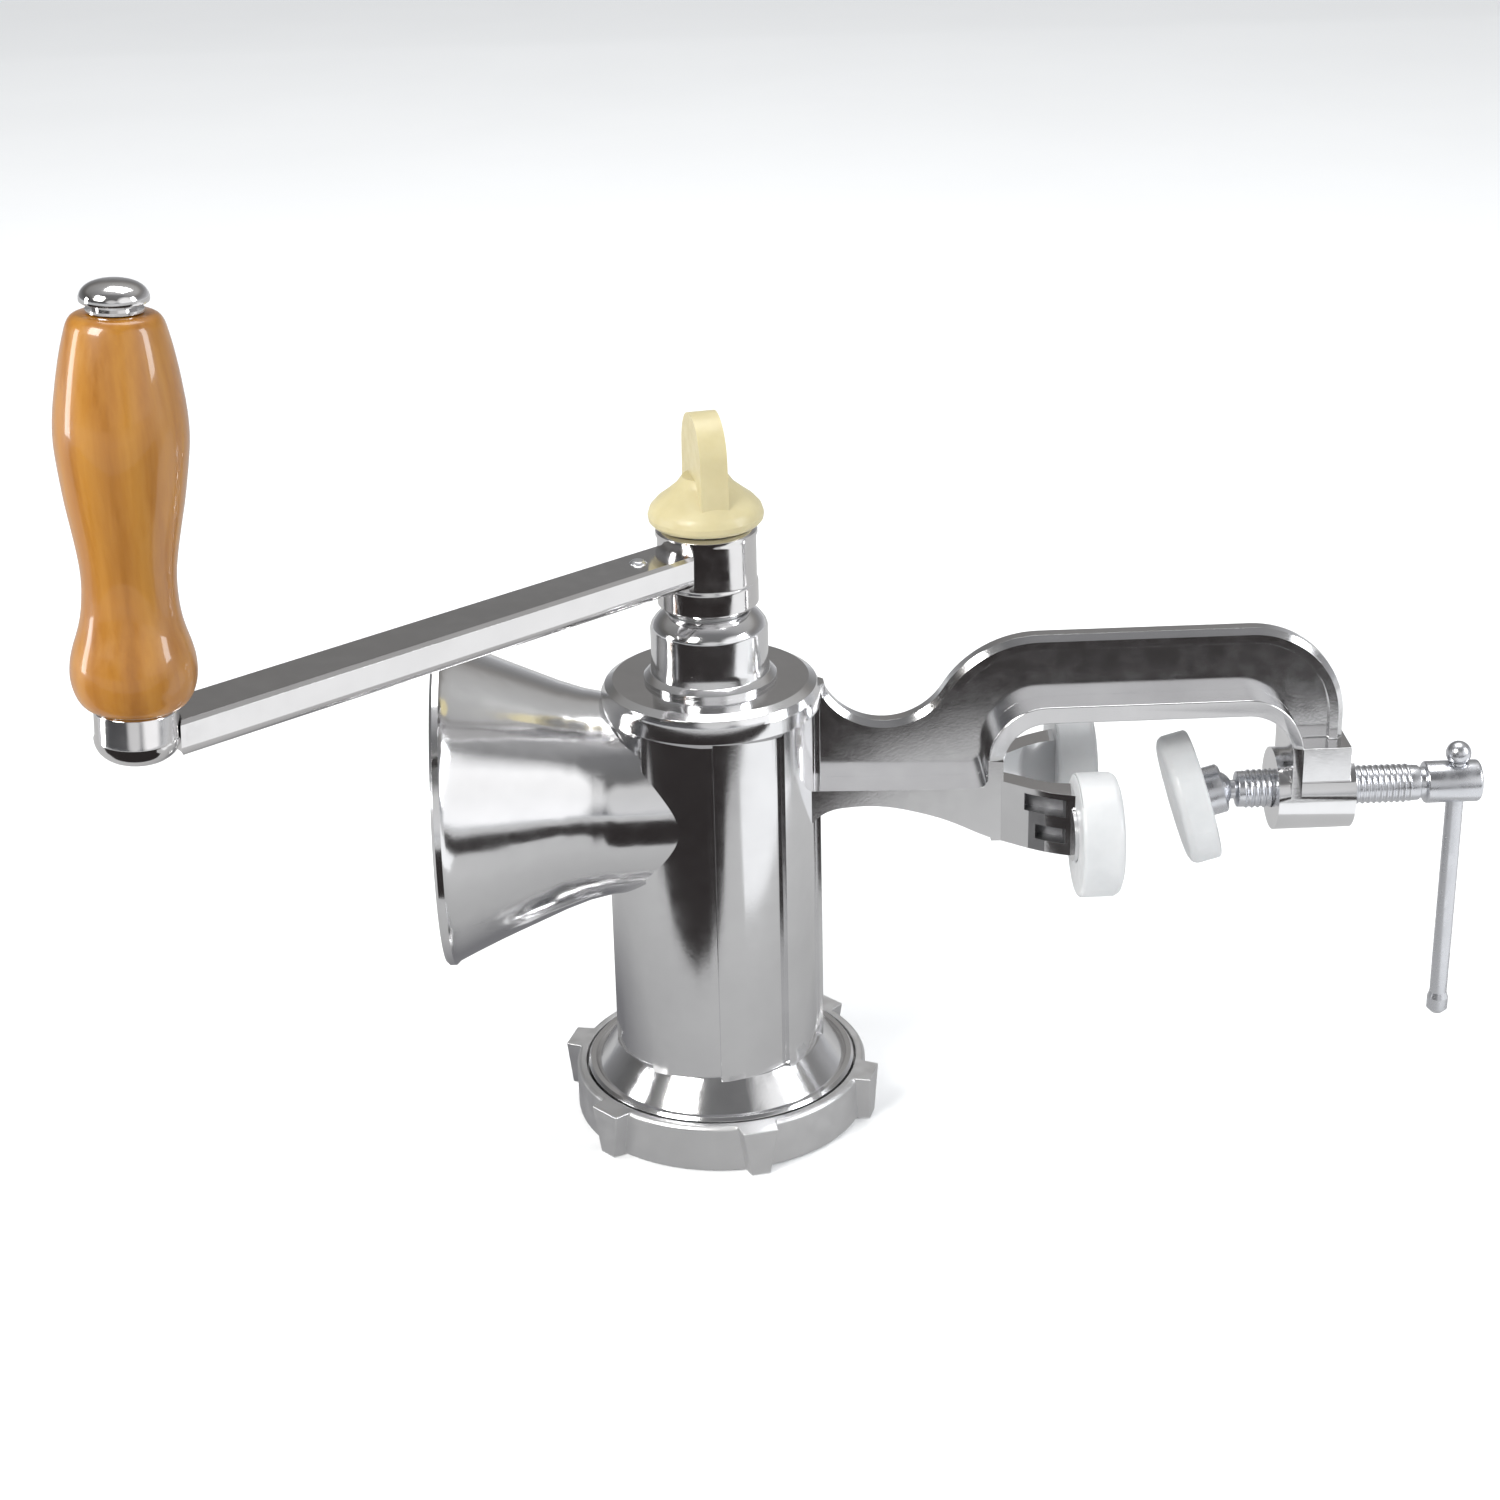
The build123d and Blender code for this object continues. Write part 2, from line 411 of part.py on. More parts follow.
spindle = turned([(0, -8.0), (SPINDLE_R, -8.0), (SPINDLE_R, 85.3), (4.4, 85.3), (4.4, 86.5), (6.6, 86.5), (7.0, 87.0), (6.8, 87.9), (6.0, 89.2), (4.5, 90.3), (2.4, 90.9), (0, 91.1)])
save("handle_spindle", on_grip(spindle))
save("handle_washer", on_grip(cyl(5.8, 84.7, 85.3) - cyl(SPINDLE_R, 80, 90)))
wood = [(GRIP_BORE_R, 2.4), (9.2, 2.4), (10.6, 3.3), (11.9, 5.0), (12.7, 7.4), (13.0, 9.7), (12.75, 12.6), (12.1, 15.4), (11.25, 18.0), (10.5, 20.6), (9.95, 23.6), (9.65, 27.0),
        (9.6, 29.6), (9.75, 32.4), (10.15, 35.6), (10.7, 39.0), (11.3, 42.4), (11.9, 45.8), (12.45, 49.6), (12.95, 53.6), (13.3, 57.0), (13.45, 60.0), (13.3, 63.0), (13.0, 66.0),
        (12.5, 69.4), (11.95, 72.8), (11.15, 76.8), (10.2, 80.6), (9.6, 82.6), (8.6, 83.8), (7.6, 84.4), (GRIP_BORE_R, 84.4)]
save("wood_grip", on_grip(turned(wood)))

# ---------------------------------------------------------------- wing knob
KNOB_Z = HUB_Z1 + 1.0
knob = turned([(0, KNOB_Z), (13.2, KNOB_Z), (14.0, KNOB_Z + 0.9), (14.2, KNOB_Z + 2.2), (13.6, KNOB_Z + 4.0), (12.0, KNOB_Z + 5.8), (9.6, KNOB_Z + 7.6), (7.2, KNOB_Z + 9.6), (5.6, KNOB_Z + 11.8), (0, KNOB_Z + 11.8)])
blade_yz = make_face([Line((0, -11.2, KNOB_Z + 5.5), (0, 11.2, KNOB_Z + 5.5)), Line((0, 11.2, KNOB_Z + 5.5), (0, WING_HALF, WING_ARCH_Z)), ThreePointArc((0, WING_HALF, WING_ARCH_Z), (0, 0, WING_ARCH_Z + WING_HALF), (0, -WING_HALF, WING_ARCH_Z)), Line((0, -WING_HALF, WING_ARCH_Z), (0, -11.2, KNOB_Z + 5.5))])
blade = Rot(0, 0, WING_TURN) * Pos(-WING_T / 2, 0, 0) * extrude(blade_yz, amount=WING_T, dir=(1, 0, 0))
knob = knob + blade - cyl(WING_SCREW_R, 150, KNOB_Z + 8.0)
save("wing_knob", knob)
save("wing_screw_stud", cyl(WING_SCREW_R, 142.6, KNOB_Z + 8.0))
save("knob_washer", cyl(8.5, HUB_Z1 + 0.08, KNOB_Z - 0.08) - cyl(WING_SCREW_R + 0.07, 150, 170))
print("crank length", round(math.hypot(gx, gy), 2), "arm", round(arm_len, 2), "axis", tuple(round(v, 5) for v in (axis_n.X, axis_n.Y, axis_n.Z)))
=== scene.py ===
import math

import bmesh
import bpy
from mathutils import Matrix, Vector


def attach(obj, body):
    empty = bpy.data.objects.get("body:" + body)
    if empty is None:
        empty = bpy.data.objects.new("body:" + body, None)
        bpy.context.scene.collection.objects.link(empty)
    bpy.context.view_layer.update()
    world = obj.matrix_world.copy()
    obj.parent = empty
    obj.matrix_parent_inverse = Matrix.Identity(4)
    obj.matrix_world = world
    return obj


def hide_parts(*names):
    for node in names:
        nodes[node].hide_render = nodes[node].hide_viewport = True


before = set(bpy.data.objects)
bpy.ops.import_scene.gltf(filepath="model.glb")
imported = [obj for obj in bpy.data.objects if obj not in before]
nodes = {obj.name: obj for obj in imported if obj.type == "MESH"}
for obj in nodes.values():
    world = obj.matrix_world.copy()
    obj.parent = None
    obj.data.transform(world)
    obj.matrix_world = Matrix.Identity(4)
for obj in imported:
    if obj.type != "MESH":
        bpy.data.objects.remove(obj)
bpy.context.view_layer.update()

MM = 0.001


# ------------------------------------------------------------------ materials
def new_material(name, color, metallic=0.0, rough=0.4, **extra):
    m = bpy.data.materials.new(name)
    m.use_nodes = True
    nt = m.node_tree
    b = nt.nodes["Principled BSDF"]
    b.inputs["Base Color"].default_value = (*color, 1)
    b.inputs["Metallic"].default_value = metallic
    b.inputs["Roughness"].default_value = rough
    for k, v in extra.items():
        b.inputs[k.replace("_", " ")].default_value = v
    return m, nt, b


def add(nt, kind, **values):
    n = nt.nodes.new(kind)
    for k, v in values.items():
        if k in n.inputs:
            n.inputs[k].default_value = v
        else:
            setattr(n, k, v)
    return n


def coords(nt, scale=(1, 1, 1), rot=(0, 0, 0)):
    tc = nt.nodes.new("ShaderNodeTexCoord")
    mp = nt.nodes.new("ShaderNodeMapping")
    mp.inputs["Scale"].default_value = scale
    mp.inputs["Rotation"].default_value = rot
    nt.links.new(tc.outputs["Object"], mp.inputs["Vector"])
    return mp.outputs["Vector"]


def noise(nt, vec, scale, detail=3.0, rough=0.5, distortion=0.0):
    n = nt.nodes.new("ShaderNodeTexNoise")
    n.inputs["Scale"].default_value = scale
    n.inputs["Detail"].default_value = detail
    n.inputs["Roughness"].default_value = rough
    n.inputs["Distortion"].default_value = distortion
    nt.links.new(vec, n.inputs["Vector"])
    return n.outputs["Fac"]


def ramp(nt, fac, stops):
    r = nt.nodes.new("ShaderNodeValToRGB")
    el = r.color_ramp.elements
    while len(el) < len(stops):
        el.new(0.5)
    for e, (p, c) in zip(el, stops):
        e.position = p
        e.color = (*c, 1) if len(c) == 3 else c
    nt.links.new(fac, r.inputs["Fac"])
    return r.outputs["Color"]


def spread(nt, fac, lo, hi, a=0.35, b=0.65):
    r = nt.nodes.new("ShaderNodeMapRange")
    r.inputs["From Min"].default_value = a
    r.inputs["From Max"].default_value = b
    r.inputs["To Min"].default_value = lo
    r.inputs["To Max"].default_value = hi
    nt.links.new(fac, r.inputs["Value"])
    return r.outputs["Result"]


def bump(nt, b, heights):
    """heights: [(height socket, distance in metres, strength)] stacked in order."""
    prev = None
    for h, dist, strength in heights:
        n = nt.nodes.new("ShaderNodeBump")
        n.inputs["Distance"].default_value = dist
        n.inputs["Strength"].default_value = strength
        nt.links.new(h, n.inputs["Height"])
        if prev is not None:
            nt.links.new(prev, n.inputs["Normal"])
        prev = n.outputs["Normal"]
    nt.links.new(prev, b.inputs["Normal"])


def metal(name, color, r_lo, r_hi, wave=0.0, wave_scale=35, grain=0.0, grain_scale=900,
          tint=0.06, stretch=(1, 1, 1), pits=0.0):
    m, nt, b = new_material(name, color, 1.0, (r_lo + r_hi) / 2)
    v = coords(nt)
    broad = noise(nt, v, 28, 4, 0.6)
    c0 = tuple(max(0, c * (1 - tint)) for c in color)
    c1 = tuple(min(1, c * (1 + tint)) for c in color)
    nt.links.new(ramp(nt, broad, [(0.3, c0), (0.7, c1)]), b.inputs["Base Color"])
    fine = noise(nt, coords(nt, stretch), 260, 3, 0.6)
    nt.links.new(spread(nt, fine, r_lo, r_hi), b.inputs["Roughness"])
    hs = []
    if wave:
        hs.append((noise(nt, v, wave_scale, 1.5, 0.4), wave, 1.0))
    if grain:
        hs.append((noise(nt, coords(nt, stretch), grain_scale, 3, 0.6), grain, 1.0))
    if pits:
        hs.append((spread(nt, noise(nt, v, 420, 2, 0.5), 0, 1, 0.28, 0.36), pits, 1.0))
    if hs:
        bump(nt, b, hs)
    return m


MAT = {}
MAT["cast"] = metal("cast_aluminium_polished", (0.80, 0.80, 0.81), 0.115, 0.145, wave=0.00013, wave_scale=22,
                    grain=0.000006, grain_scale=1400)
MAT["ring"] = metal("ring_aluminium_satin", (0.76, 0.76, 0.765), 0.34, 0.46, wave=0.00025, wave_scale=40,
                    grain=0.00003, grain_scale=1100)
MAT["chrome"] = metal("chromed_steel_bright", (0.76, 0.75, 0.75), 0.08, 0.15, wave=0.00012, wave_scale=45,
                      grain=0.000004, grain_scale=1500)
MAT["tin"] = metal("tinned_iron_cast", (0.55, 0.55, 0.56), 0.30, 0.5, wave=0.0006, wave_scale=60,
                   grain=0.00006, grain_scale=600)
MAT["blade"] = metal("blade_steel_ground", (0.56, 0.57, 0.59), 0.2, 0.34, grain=0.00002, grain_scale=500,
                     stretch=(1, 6, 1))
MAT["zinc"] = metal("zinc_plated_steel", (0.66, 0.67, 0.70), 0.22, 0.34, wave=0.0002, wave_scale=80,
                    grain=0.00001, grain_scale=1200)
# darker base colour than the polished casting: painted shade for the jaw pockets of the clamp frame
MAT["recess"] = metal("cast_aluminium_recess", (0.34, 0.34, 0.35), 0.38, 0.55, wave=0.0003, wave_scale=60,
                      grain=0.00005, grain_scale=900)
MAT["bronze"] = metal("bronze_bush", (0.62, 0.42, 0.22), 0.25, 0.4, grain=0.00002, grain_scale=900)
for key, node in (("cast_aluminium", "cast"), ("ring_aluminium", "ring"), ("chromed_steel", "chrome"),
                  ("tinned_iron", "tin"), ("blade_steel", "blade"), ("zinc_steel", "zinc"), ("bronze", "bronze")):
    MAT[key] = MAT[node]


def ivory():
    m, nt, b = new_material("ivory_plastic", (0.50, 0.44, 0.255), 0.0, 0.34, Subsurface_Weight=0.12)
    b.inputs["Subsurface Radius"].default_value = (0.004, 0.003, 0.0015)
    v = coords(nt)
    c = ramp(nt, noise(nt, v, 55, 4, 0.6), [(0.3, (0.45, 0.39, 0.215)), (0.7, (0.55, 0.49, 0.295))])
    nt.links.new(c, b.inputs["Base Color"])
    nt.links.new(spread(nt, noise(nt, v, 300, 3), 0.28, 0.42), b.inputs["Roughness"])
    bump(nt, b, [(noise(nt, v, 45, 2), 0.0004, 1.0), (noise(nt, v, 900, 3), 0.00002, 1.0)])
    return m


def nylon():
    m, nt, b = new_material("white_nylon", (0.55, 0.555, 0.56), 0.0, 0.36, Subsurface_Weight=0.25)
    b.inputs["Subsurface Radius"].default_value = (0.006, 0.005, 0.005)
    v = coords(nt)
    c = ramp(nt, noise(nt, v, 60, 4, 0.6), [(0.3, (0.50, 0.51, 0.52)), (0.7, (0.59, 0.595, 0.60))])
    nt.links.new(c, b.inputs["Base Color"])
    nt.links.new(spread(nt, noise(nt, v, 350, 3), 0.3, 0.44), b.inputs["Roughness"])
    bump(nt, b, [(noise(nt, v, 50, 2), 0.0003, 1.0), (noise(nt, v, 1000, 3), 0.00002, 1.0)])
    return m


MAT["ivory"] = MAT["ivory_plastic"] = ivory()
MAT["nylon"] = MAT["white_nylon"] = nylon()

GRIP_FOOT = Vector((-121.04, -110.79, 162.04)) * MM
GRIP_AXIS = Vector((0.04953, 0.04533, 0.99774)).normalized()
THETA = math.radians(-137.53)


def grip_matrix():
    z = GRIP_AXIS
    x = Vector((math.cos(THETA), math.sin(THETA), 0))
    x = (x - z * x.dot(z)).normalized()
    y = z.cross(x)
    m = Matrix((x, y, z)).transposed().to_4x4()
    m.translation = GRIP_FOOT
    return m


def wood():
    m, nt, b = new_material("varnished_wood", (0.29, 0.10, 0.014), 0.0, 0.38, Coat_Weight=0.75)
    b.inputs["Coat Roughness"].default_value = 0.06
    b.inputs["Coat IOR"].default_value = 1.5
    rings = add(nt, "ShaderNodeTexWave", wave_type="BANDS", bands_direction="X")
    rings.inputs["Scale"].default_value = 42
    rings.inputs["Distortion"].default_value = 7.0
    rings.inputs["Detail"].default_value = 3.0
    rings.inputs["Detail Scale"].default_value = 1.1
    nt.links.new(coords(nt, (1, 0.7, 0.05)), rings.inputs["Vector"])
    streak = noise(nt, coords(nt, (1, 1, 0.04)), 520, 4, 0.62)
    broad = noise(nt, coords(nt, (1, 1, 0.12)), 60, 2, 0.5)
    mix = nt.nodes.new("ShaderNodeMix")
    mix.data_type = "FLOAT"
    mix.inputs[0].default_value = 0.72
    nt.links.new(rings.outputs["Fac"], mix.inputs[2])
    nt.links.new(streak, mix.inputs[3])
    mix2 = nt.nodes.new("ShaderNodeMix")
    mix2.data_type = "FLOAT"
    mix2.inputs[0].default_value = 0.45
    nt.links.new(mix.outputs[0], mix2.inputs[2])
    nt.links.new(broad, mix2.inputs[3])
    c = ramp(nt, mix2.outputs[0], [(0.22, (0.20, 0.068, 0.005)), (0.45, (0.30, 0.115, 0.007)),
                                   (0.58, (0.345, 0.142, 0.009)), (0.78, (0.40, 0.18, 0.014))])
    nt.links.new(c, b.inputs["Base Color"])
    nt.links.new(spread(nt, streak, 0.30, 0.44), b.inputs["Roughness"])
    bump(nt, b, [(streak, 0.00003, 0.5), (noise(nt, coords(nt), 40, 2), 0.0002, 1.0)])
    return m


MAT["wood"] = MAT["varnished_wood"] = wood()


def paint(obj, key):
    obj.data.materials.clear()
    obj.data.materials.append(MAT[key])


NODE_MATERIAL = {
    "barrel": "cast", "hopper": "cast", "clamp_arm": "cast", "ring_nut": "ring", "perforated_plate": "blade",
    "plate_key_pin": "blade", "knife": "blade", "knife_stud": "blade", "auger": "tin", "drive_shaft": "tin",
    "shaft_bush": "bronze", "thrust_washer": "nylon", "crank_hub": "chrome", "crank_arm": "chrome",
    "crank_pin": "zinc", "crank_end_boss": "chrome", "handle_spindle": "chrome", "handle_washer": "chrome",
    "wood_grip": "wood", "knob_washer": "zinc", "wing_knob": "ivory", "wing_screw_stud": "zinc",
    "front_jaw_pad": "nylon", "rear_jaw_pad": "nylon", "clamp_screw": "zinc", "tommy_bar": "zinc",
    "tommy_bar_ball": "zinc", "swivel_collar": "zinc", "swivel_disc": "zinc", "swivel_cap": "nylon",
}
for name, obj in nodes.items():
    m = MAT[NODE_MATERIAL[name]]
    if len(obj.material_slots) == 0:
        obj.data.materials.append(m)
    for s in obj.material_slots:
        s.material = m

def link(name, me, key, body, *replaced):
    o = bpy.data.objects.new(name, me)
    bpy.context.scene.collection.objects.link(o)
    me.materials.clear()
    me.materials.append(MAT[key])
    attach(o, body)
    if replaced:
        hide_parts(*replaced)
    return o


def shade(me, angle=40):
    me.update()
    me.shade_smooth()
    me.set_sharp_from_angle(angle=math.radians(angle))


def apply_all(o):
    deps = bpy.context.evaluated_depsgraph_get()
    me = bpy.data.meshes.new_from_object(o.evaluated_get(deps), depsgraph=deps)
    o.modifiers.clear()
    old = o.data
    mats = [m for m in old.materials]
    o.data = me
    me.materials.clear()
    for m in mats:
        me.materials.append(m)
    return o


def soften(bm, test, offset, segments, sharp=28):
    """Rounds the sharp edges whose two ends both pass the test, given in mm."""
    edges = []
    for e in bm.edges:
        if len(e.link_faces) == 2 and e.calc_face_angle(0) > math.radians(sharp) and all(test(v.co / MM) for v in e.verts):
            edges.append(e)
    if edges:
        bmesh.ops.bevel(bm, geom=edges, offset=offset * MM, offset_type="OFFSET", segments=segments, profile=0.5,
                        affect="EDGES", clamp_overlap=True)


def eased(name, node, key, body, width, segments=3, sharp=28, weld=2e-6, also=(), first=(), split=()):
    """A CAD node's own surface with its corners rounded over, as a cast or moulded part has them."""
    bm = bmesh.new()
    for n in (node, *also):
        bm.from_mesh(nodes[n].data)
    bmesh.ops.remove_doubles(bm, verts=bm.verts, dist=weld)
    bmesh.ops.dissolve_limit(bm, angle_limit=math.radians(0.4), verts=bm.verts, edges=bm.edges)
    for z in split:
        bmesh.ops.bisect_plane(bm, geom=bm.verts[:] + bm.edges[:] + bm.faces[:], plane_co=(0, 0, z * MM), plane_no=(0, 0, 1))
    for test, offset, count in first:
        soften(bm, test, offset, count)
    me = bpy.data.meshes.new(name)
    bm.to_mesh(me)
    bm.free()
    o = link(name, me, key, body, node, *also)
    b = o.modifiers.new("ease", "BEVEL")
    b.width = width * MM
    b.segments = segments
    b.limit_method = "ANGLE"
    b.angle_limit = math.radians(sharp)
    b.use_clamp_overlap = True
    b.miter_outer = "MITER_ARC"
    b.harden_normals = False
    me.shade_smooth()
    w = o.modifiers.new("normals", "WEIGHTED_NORMAL")
    w.weight = 60
    w.keep_sharp = True
    apply_all(o)
    return o


def turned(profile, steps=128, frame_m=None, closed=True):
    """bmesh of a profile [(r, z)] in mm turned round the local z axis; ends at r=0 become poles."""
    bm = bmesh.new()
    rings = []
    for r, z in profile:
        if r < 1e-6:
            rings.append([bm.verts.new((0, 0, z * MM))])
        else:
            rings.append([bm.verts.new((r * MM * math.cos(2 * math.pi * k / steps), r * MM * math.sin(2 * math.pi * k / steps), z * MM)) for k in range(steps)])
    pairs = list(zip(rings, rings[1:]))
    if closed and len(rings[0]) > 1 and len(rings[-1]) > 1:
        pairs.append((rings[-1], rings[0]))
    for a, b in pairs:
        for k in range(steps):
            k2 = (k + 1) % steps
            if len(a) == 1 and len(b) == 1:
                continue
            if len(a) == 1:
                bm.faces.new((a[0], b[k], b[k2]))
            elif len(b) == 1:
                bm.faces.new((a[k], b[0], a[k2]))
            else:
                bm.faces.new((a[k], b[k], b[k2], a[k2]))
    bmesh.ops.recalc_face_normals(bm, faces=bm.faces)
    if frame_m is not None:
        bm.transform(frame_m)
    return bm


def rounded(points, radii, n=5):
    """Polyline in 2-D with corners filleted; radii is one number or a list per point."""
    out = []
    count = len(points)
    for i, p in enumerate(points):
        r = radii[i] if isinstance(radii, (list, tuple)) else radii
        if i == 0 or i == count - 1 or r <= 0:
            out.append(tuple(p))
            continue
        P, A, B = Vector(p), Vector(points[i - 1]), Vector(points[i + 1])
        u, v = (A - P), (B - P)
        lu, lv = u.length, v.length
        u.normalize(), v.normalize()
        ang = math.acos(max(-1, min(1, u.dot(v))))
        if ang > math.pi - 0.02:
            out.append(tuple(p))
            continue
        t = min(r / math.tan(ang / 2), 0.48 * lu, 0.48 * lv)
        rr = t * math.tan(ang / 2)
        c = P + (u + v).normalized() * (rr / math.sin(ang / 2))
        s0, s1 = P + u * t - c, P + v * t - c
        sweep = s0.angle_signed(s1)
        for k in range(n + 1):
            a = -sweep * k / n
            out.append((c.x + s0.x * math.cos(a) - s0.y * math.sin(a), c.y + s0.x * math.sin(a) + s0.y * math.cos(a)))
    return out


def mesh_of(name, bm, angle=40):
    me = bpy.data.meshes.new(name)
    bmesh.ops.recalc_face_normals(bm, faces=bm.faces)
    bm.to_mesh(me)
    bm.free()
    shade(me, angle)
    return me


# ---- castings: edges rounded over
eased("barrel_casting", "barrel", "cast", "casting", 0.45, 3, 24)
eased("hopper_casting", "hopper", "cast", "casting", 0.7, 3, 30)
eased("clamp_frame", "clamp_arm", "cast", "casting", 0.8, 3, 24,
      first=((lambda p: 10.3 < abs(p.y) < 10.7 and 64 < p.x < 149 and p.z > 99.2, 1.45, 5),
             (lambda p: 145.9 < p.x < 160.9 and abs(p.y) < 9.4 and p.z < 99.2, 1.2, 4)),
      split=(99.3,))
frame_piece = bpy.data.objects["clamp_frame"]
# the deep flange round the window has drafted front faces, leaning back towards their outer edge
for v in frame_piece.data.vertices:
    x, y, z = v.co / MM
    if abs(y) > 9.0 and 64 < x < 149 and z > 99.3:
        if x < 83.5:
            d = math.hypot(x - 83.5, z - 97.7) - 11.1
        elif x > 133.5:
            d = math.hypot(x - 133.5, z - 96.8) - 12.0
        else:
            d = z - 108.8
        d = max(0.0, min(3.8, d)) * min(1.0, (z - 99.3) / 4.0)
        v.co.y -= math.copysign(0.34 * d, y) * MM
frame_piece.data.update()
# the jaw pockets take the darker aluminium: painted shade in the recesses
frame_piece.data.materials.append(MAT["recess"])
for p in frame_piece.data.polygons:
    c = p.center / MM
    if 77.1 < c.x < 86.9 and abs(c.y) > 3 and (87.5 < c.z < 92.3 or 80.3 < c.z < 84.5):
        p.material_index = 1
eased("ring_nut_casting", "ring_nut", "ring", "ring_nut", 0.9, 3, 26)
eased("front_pad", "front_jaw_pad", "nylon", "casting", 0.6, 3, 30)
eased("rear_pad", "rear_jaw_pad", "nylon", "casting", 0.6, 3, 30)
eased("hub_turned", "crank_hub", "chrome", "feed_crank", 0.4, 3, 26)
eased("foot_cap", "swivel_cap", "nylon", "swivel_foot", 0.9, 3, 30)


# ---- clamp screw with its thread
def screw():
    pitch, r0, r1 = 1.5, 4.95, 4.72
    x0, x1 = 134.6, 178.9
    bm = turned(rounded([(0, 122.75), (3.0, 122.75), (3.0, 124.15), (2.4, 124.15), (2.4, 133.15), (4.6, 133.6), (4.6, 134.7), (4.6, 178.6), (4.5, 180.4),
                         (4.0, 180.6), (4.0, 182.0), (5.4, 182.0), (5.4, 196.3), (0, 196.3)],
                        [0, .35, .1, .1, .2, .3, 0, 0, .2, .1, .3, .6, .9, 0], 4), 72)
    turn = 40
    rings = []
    n = int((x1 - x0) / pitch * turn)
    for i in range(n + 1):
        a = 2 * math.pi * i / turn
        z = x0 + pitch * i / turn
        k = min(1.0, i / turn, (n - i) / turn)
        rr = r1 - 0.25 + (r0 - r1 + 0.25) * k
        row = []
        for dz, rad in ((-0.70, r1 - 0.30), (-0.20, rr - 0.05), (-0.10, rr), (0.10, rr), (0.20, rr - 0.05), (0.70, r1 - 0.30)):
            row.append(bm.verts.new((rad * MM * math.cos(a), rad * MM * math.sin(a), (z + dz) * MM)))
        rings.append(row)
    for a, b in zip(rings, rings[1:]):
        for k in range(5):
            bm.faces.new((a[k], a[k + 1], b[k + 1], b[k]))
        bm.faces.new((a[5], a[0], b[0], b[5]))
    bm.faces.new(rings[0])
    bm.faces.new(list(reversed(rings[-1])))
    m = Matrix.Translation((0, 0, 84.3 * MM)) @ Matrix.Rotation(math.radians(90), 4, "Y")
    bm.transform(m)
    me = mesh_of("screw_mesh", bm, 50)
    o = link("screw_threaded", me, "zinc", "clamp_screw", "clamp_screw")
    cutter_bm = bmesh.new()
    bmesh.ops.create_cone(cutter_bm, cap_ends=True, segments=48, radius1=2.35 * MM, radius2=2.35 * MM, depth=30 * MM)
    cutter_bm.transform(Matrix.Translation((190.5 * MM, 0, 84.3 * MM)))
    cme = bpy.data.meshes.new("cross_hole")
    cutter_bm.to_mesh(cme)
    cutter_bm.free()
    c = bpy.data.objects.new("cross_hole", cme)
    bpy.context.scene.collection.objects.link(c)
    bo = o.modifiers.new("hole", "BOOLEAN")
    bo.operation = "DIFFERENCE"
    bo.solver = "EXACT"
    bo.use_self = True
    bo.object = c
    apply_all(o)
    bpy.data.objects.remove(c)
    shade(o.data, 50)
    return o


screw()


# ---- wing knob, crank bar: moulded and forged edges rounded over
eased("wing_knob_moulded", "wing_knob", "ivory", "wing_knob", 1.15, 4, 24)
eased("crank_bar", "crank_arm", "chrome", "feed_crank", 0.8, 4, 24)


# ---- turned parts of the crank handle, each with a smooth profile
def smooth(points, per=5):
    """Points joined by a smooth curve through all of them."""
    out = []
    n = len(points)
    for i in range(n - 1):
        p0, p1, p2, p3 = (points[max(0, i - 1)], points[i], points[i + 1], points[min(n - 1, i + 2)])
        for k in range(per):
            t = k / per
            out.append(tuple(0.5 * (2 * p1[q] + (p2[q] - p0[q]) * t + (2 * p0[q] - 5 * p1[q] + 4 * p2[q] - p3[q]) * t * t
                                    + (3 * p1[q] - p0[q] - 3 * p2[q] + p3[q]) * t ** 3) for q in (0, 1)))
    out.append(tuple(points[-1]))
    return out


SPINDLE_R, GRIP_BORE_R = 3.0, 3.1
boss_side = smooth([(0.01, -9.9), (3.2, -9.75), (5.8, -9.05), (7.8, -7.6), (8.75, -5.9), (9.0, -4.5)])
boss_profile = [(0, -9.9)] + boss_side[1:] + [(8.72, -3.9), (8.7, 1.5), (8.5, 1.9), (8.1, 2.1), (SPINDLE_R, 2.1), (SPINDLE_R, -8.0), (0, -8.0)]
link("boss_turned", mesh_of("boss_mesh", turned(boss_profile, 128, grip_matrix()), 40), "chrome", "feed_crank", "crank_end_boss")
dome_side = smooth([(6.95, 87.05), (6.85, 88.0), (6.15, 89.2), (4.75, 90.2), (2.6, 90.82), (0.01, 91.0)], 6)
spindle_profile = [(0, -8.0), (SPINDLE_R, -8.0), (SPINDLE_R, 85.3), (4.4, 85.3), (4.4, 86.5), (6.55, 86.5), (6.85, 86.7)] + dome_side[:-1] + [(0, 91.0)]
link("spindle_turned", mesh_of("spindle_mesh", turned(spindle_profile, 128, grip_matrix()), 40), "chrome", "feed_crank", "handle_spindle")
wood_side = smooth([(9.2, 2.4), (10.6, 3.25), (11.85, 5.0), (12.65, 7.4), (12.95, 9.7), (12.75, 12.6), (12.1, 15.4), (11.25, 18.0), (10.5, 20.6), (9.95, 23.6), (9.65, 27.0),
                    (9.6, 29.6), (9.75, 32.4), (10.15, 35.6), (10.7, 39.0), (11.3, 42.4), (11.9, 45.8), (12.45, 49.6), (12.95, 53.6), (13.3, 57.0), (13.42, 60.0), (13.3, 63.0),
                    (13.0, 66.0), (12.5, 69.4), (11.95, 72.8), (11.15, 76.8), (10.2, 80.6), (9.55, 82.6), (8.7, 83.8), (7.6, 84.35)], 4)
link("grip_turned", mesh_of("grip_mesh", turned([(GRIP_BORE_R, 2.4)] + wood_side + [(GRIP_BORE_R, 84.4)], 128, grip_matrix()), 50), "wood", "grip", "wood_grip")


